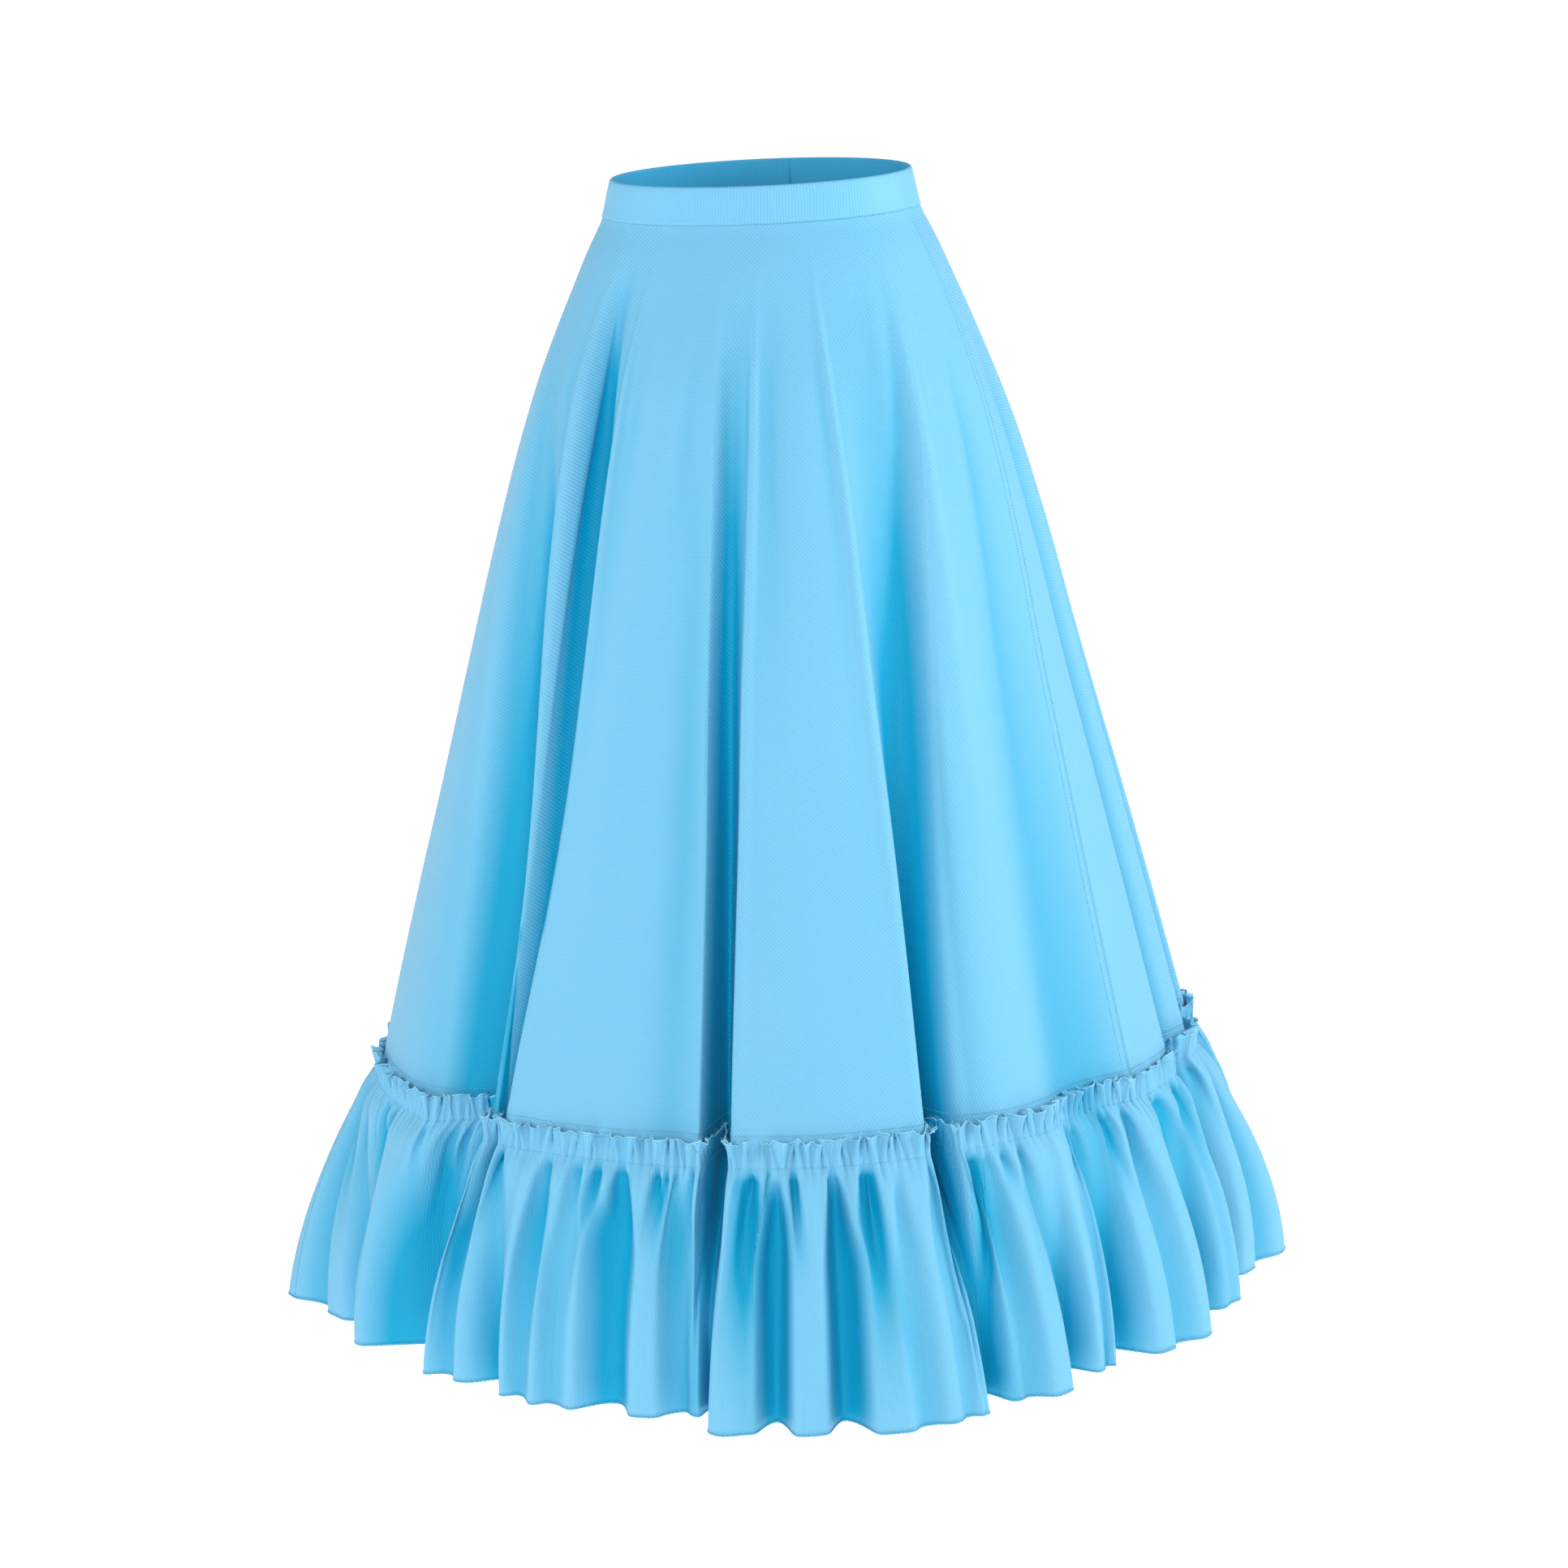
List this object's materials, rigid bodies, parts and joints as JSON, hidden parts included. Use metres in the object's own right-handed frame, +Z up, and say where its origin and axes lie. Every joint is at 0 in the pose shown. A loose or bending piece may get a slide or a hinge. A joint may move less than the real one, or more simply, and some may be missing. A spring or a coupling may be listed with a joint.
{
  "type": "folk dance skirt, worn, with no wearer",
  "caption": "Long flared skirt on an elastic waistband, with soft hanging folds and a gathered flounce round its hem, hollow as worn.",
  "frame": {"origin": "centre of the waist opening, level with the waistband's upper edge, where the wearer's waist holds it", "axes": "+Z up, -Y towards the front of the skirt, +X towards the wearer's left side"},
  "size_m": [0.8622, 0.7833, 0.97],
  "materials": {
    "waistband_cloth": "satin, finely ribbed upright",
    "body_cloth": "soft satin sheen, fine diagonal weave",
    "flounce_cloth": "soft satin sheen, fine crepe grain"
  },
  "bodies": {
    "root": {"waistband": "waistband_cloth", "front_panel": "body_cloth", "back_panel": "body_cloth", "front_flounce": "flounce_cloth", "back_flounce": "flounce_cloth"}
  },
  "joints": []
}
